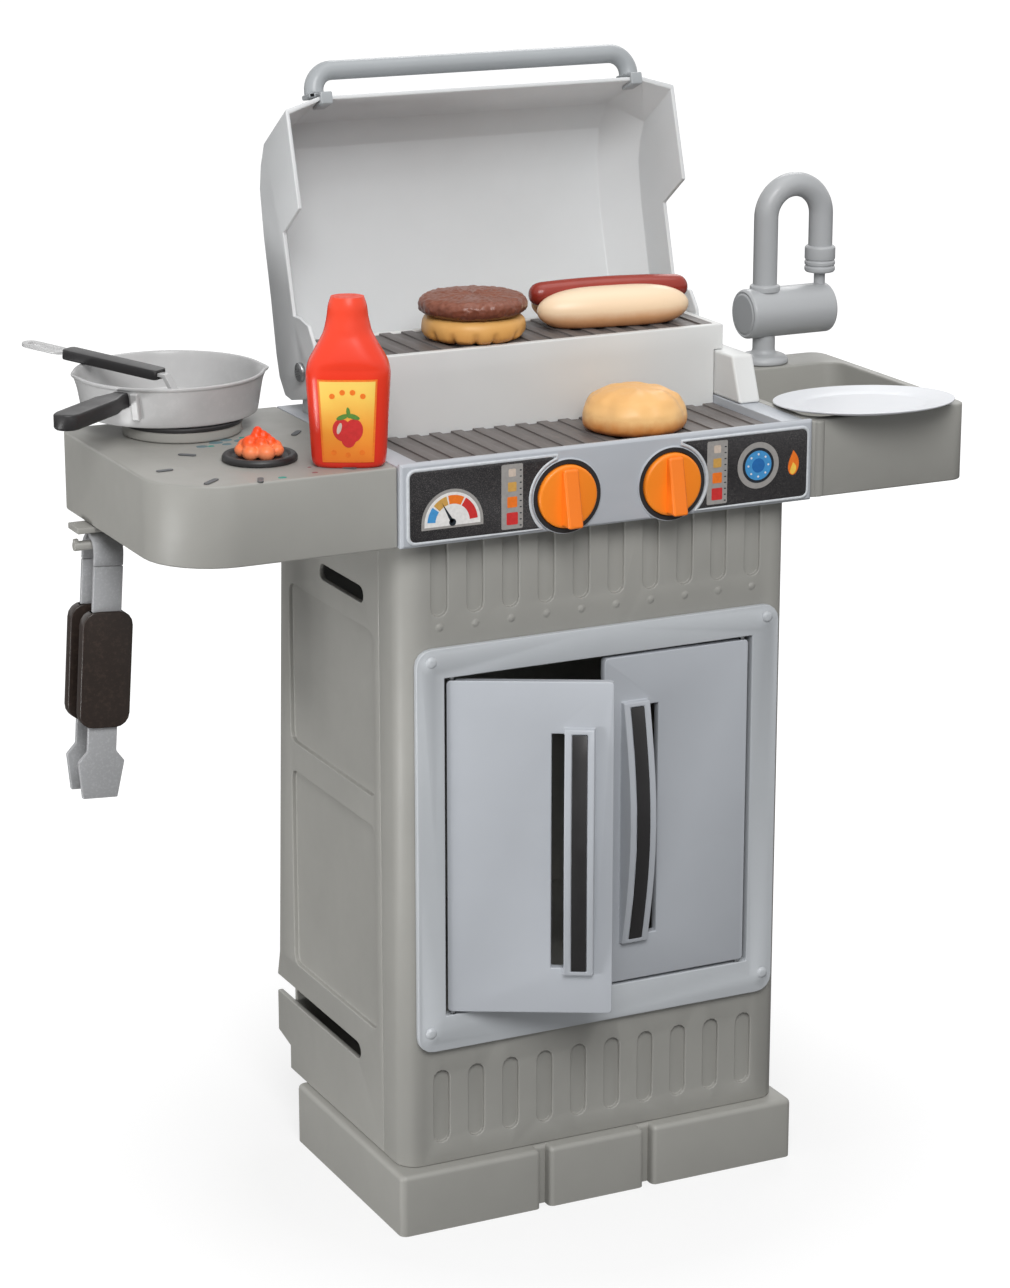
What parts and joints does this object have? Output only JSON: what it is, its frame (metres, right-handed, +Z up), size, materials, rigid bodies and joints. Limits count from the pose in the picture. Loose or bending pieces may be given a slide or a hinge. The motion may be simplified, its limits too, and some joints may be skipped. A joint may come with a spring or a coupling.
{
  "type": "toy barbecue grill",
  "caption": "Toy barbecue grill on a cabinet with opening doors, a hinged lid, turning knobs, side burner, sink with swivel faucet, tongs, pan and play food.",
  "frame": {"origin": "centre of the plinth's footprint, on the floor", "axes": "+Z up, the front with the doors and knobs faces -Y, +X to the right as seen from the front"},
  "size_m": [0.7704, 0.3896, 0.9486],
  "materials": {
    "cabinet_grey": "warm mid-grey moulded plastic with a soft satin surface",
    "frame_blue_grey": "light blue-grey moulded plastic, satin",
    "housing_pale_grey": "pale grey moulded plastic, satin",
    "lid_grey": "pale cool grey moulded plastic, satin, slightly pearly inside",
    "faucet_grey": "mid-grey moulded plastic, satin",
    "pan_silver": "silver-grey moulded plastic, semi-gloss",
    "grate_brown_grey": "dark brown-grey printed grate",
    "black_plastic": "black plastic, satin",
    "label_black": "glossy charcoal label with plain printed scales",
    "knob_orange": "bright orange plastic, semi-gloss",
    "flame_orange": "orange plastic, semi-gloss",
    "bottle_red": "tomato-red plastic, gloss",
    "patty_brown": "brown plastic with a rough pebbled surface",
    "bun_yellow": "warm yellow plastic with toasted orange edge",
    "bun_tan": "tan plastic with a toasted top",
    "bun_cream": "cream plastic, satin",
    "sausage_red": "red-brown plastic, semi-gloss",
    "plate_white": "white plastic, gloss",
    "steel": "zinc-plated steel"
  },
  "bodies": {
    "grill_body": {"plinth": "cabinet_grey", "cabinet_front": "cabinet_grey", "side_panel_left": "cabinet_grey", "side_panel_right": "cabinet_grey", "back_panel": "cabinet_grey", "cabinet_floor": "cabinet_grey", "door_frame": "frame_blue_grey", "door_pin_left_top": "steel", "door_pin_left_bottom": "steel", "door_pin_right_top": "steel", "door_pin_right_bottom": "steel", "worktop_left": "cabinet_grey", "worktop_right": "cabinet_grey", "grill_deck": "frame_blue_grey", "firebox_wall_left": "frame_blue_grey", "firebox_wall_right": "frame_blue_grey", "lower_grate": "grate_brown_grey", "grate_housing": "housing_pale_grey", "upper_grate": "grate_brown_grey", "control_panel": "frame_blue_grey", "label_plate_left": "label_black", "label_plate_right": "label_black", "lid_hinge_pin_left": "steel", "lid_hinge_pin_right": "steel", "faucet_base": "faucet_grey", "burner_disc": "black_plastic", "flame_piece": "flame_orange", "burner_ring": "black_plastic", "tongs_hanger": "cabinet_grey"},
    "left_door": {"door_left": "frame_blue_grey", "grip_inlay_left": "black_plastic"},
    "right_door": {"door_right": "frame_blue_grey", "grip_inlay_right": "black_plastic"},
    "left_knob": {"knob_left": "knob_orange", "knob_screw_left": "steel"},
    "right_knob": {"knob_right": "knob_orange", "knob_screw_right": "steel"},
    "grill_lid": {"lid": "lid_grey", "lid_handle": "lid_grey"},
    "faucet": {"mixer_barrel": "faucet_grey", "spout": "faucet_grey", "spray_collar": "faucet_grey", "spout_rod": "faucet_grey"},
    "frying_pan": {"pan": "pan_silver", "pan_handle": "black_plastic"},
    "spatula": {"spatula_blade": "pan_silver", "spatula_grip": "black_plastic"},
    "tongs": {"tongs_bow": "faucet_grey"},
    "tongs_front_arm": {"tongs_arm_front": "faucet_grey", "tongs_sleeve_front": "black_plastic"},
    "tongs_rear_arm": {"tongs_arm_rear": "faucet_grey", "tongs_sleeve_rear": "black_plastic"},
    "sauce_bottle": {"bottle": "bottle_red"},
    "burger_base": {"bun_base": "bun_yellow"},
    "burger_patty": {"patty": "patty_brown"},
    "hot_dog": {"hot_dog_bun": "bun_cream"},
    "hot_dog_sausage": {"sausage": "sausage_red"},
    "burger_top": {"top_bun": "bun_tan"},
    "dinner_plate": {"plate": "plate_white"}
  },
  "joints": [
    {"name": "lid_hinge", "type": "hinge", "parent": "grill_body", "child": "grill_lid", "pos_m": [0, 0.089, 0.698], "axis": [1, 0, 0], "range_deg": [0, 105.7]},
    {"name": "left_door_hinge", "type": "hinge", "parent": "grill_body", "child": "left_door", "pos_m": [-0.1345, -0.101, 0.334], "axis": [0, 0, 1], "range_deg": [-80, 28]},
    {"name": "right_door_hinge", "type": "hinge", "parent": "grill_body", "child": "right_door", "pos_m": [0.1345, -0.101, 0.334], "axis": [0, 0, 1], "range_deg": [0, 108]},
    {"name": "left_knob_turn", "type": "hinge", "parent": "grill_body", "child": "left_knob", "pos_m": [-0.0415, -0.116, 0.6235], "axis": [0, -1, 0], "continuous": true},
    {"name": "right_knob_turn", "type": "hinge", "parent": "grill_body", "child": "right_knob", "pos_m": [0.054, -0.116, 0.6235], "axis": [0, -1, 0], "continuous": true},
    {"name": "faucet_swivel", "type": "hinge", "parent": "grill_body", "child": "faucet", "pos_m": [0.273, 0.11, 0.686], "axis": [0, 0, 1], "range_deg": [-135, 45]},
    {"name": "pan_lift", "type": "slide", "parent": "grill_body", "child": "frying_pan", "axis": [0, 0, 1], "range_m": [0, 0.12]},
    {"name": "spatula_lift", "type": "slide", "parent": "frying_pan", "child": "spatula", "axis": [0, 0, 1], "range_m": [0, 0.1]},
    {"name": "tongs_swing", "type": "hinge", "parent": "grill_body", "child": "tongs", "pos_m": [-0.367, 0.0685, 0.5775], "axis": [1, 0, 0], "range_deg": [-20, 20]},
    {"name": "tongs_squeeze", "type": "hinge", "parent": "tongs", "child": "tongs_front_arm", "pos_m": [-0.36832, 0.0545, 0.55872], "axis": [0.9976, 0, -0.0698], "range_deg": [0, 3.4], "stiffness_Nm_per_rad": 1.5},
    {"name": "tongs_squeeze_rear", "type": "hinge", "parent": "tongs", "child": "tongs_rear_arm", "pos_m": [-0.36832, 0.0825, 0.55872], "axis": [0.9976, 0, -0.0698], "range_deg": [-3.4, 0], "stiffness_Nm_per_rad": 1.5},
    {"name": "bottle_lift", "type": "slide", "parent": "grill_body", "child": "sauce_bottle", "axis": [0, 0, 1], "range_m": [0, 0.15]},
    {"name": "burger_lift", "type": "slide", "parent": "grill_body", "child": "burger_base", "axis": [0, 0, 1], "range_m": [0, 0.1]},
    {"name": "patty_lift", "type": "slide", "parent": "burger_base", "child": "burger_patty", "axis": [0, 0, 1], "range_m": [0, 0.06]},
    {"name": "hot_dog_lift", "type": "slide", "parent": "grill_body", "child": "hot_dog", "axis": [0, 0, 1], "range_m": [0, 0.1]},
    {"name": "sausage_lift", "type": "slide", "parent": "hot_dog", "child": "hot_dog_sausage", "axis": [0, 0, 1], "range_m": [0, 0.06]},
    {"name": "top_bun_lift", "type": "slide", "parent": "grill_body", "child": "burger_top", "axis": [0, 0, 1], "range_m": [0, 0.14]},
    {"name": "plate_lift", "type": "slide", "parent": "grill_body", "child": "dinner_plate", "axis": [0, 0, 1], "range_m": [0, 0.1]}
  ],
  "couplings": [
    {"joint": "tongs_squeeze_rear", "follows": "tongs_squeeze", "ratio": -1}
  ]
}
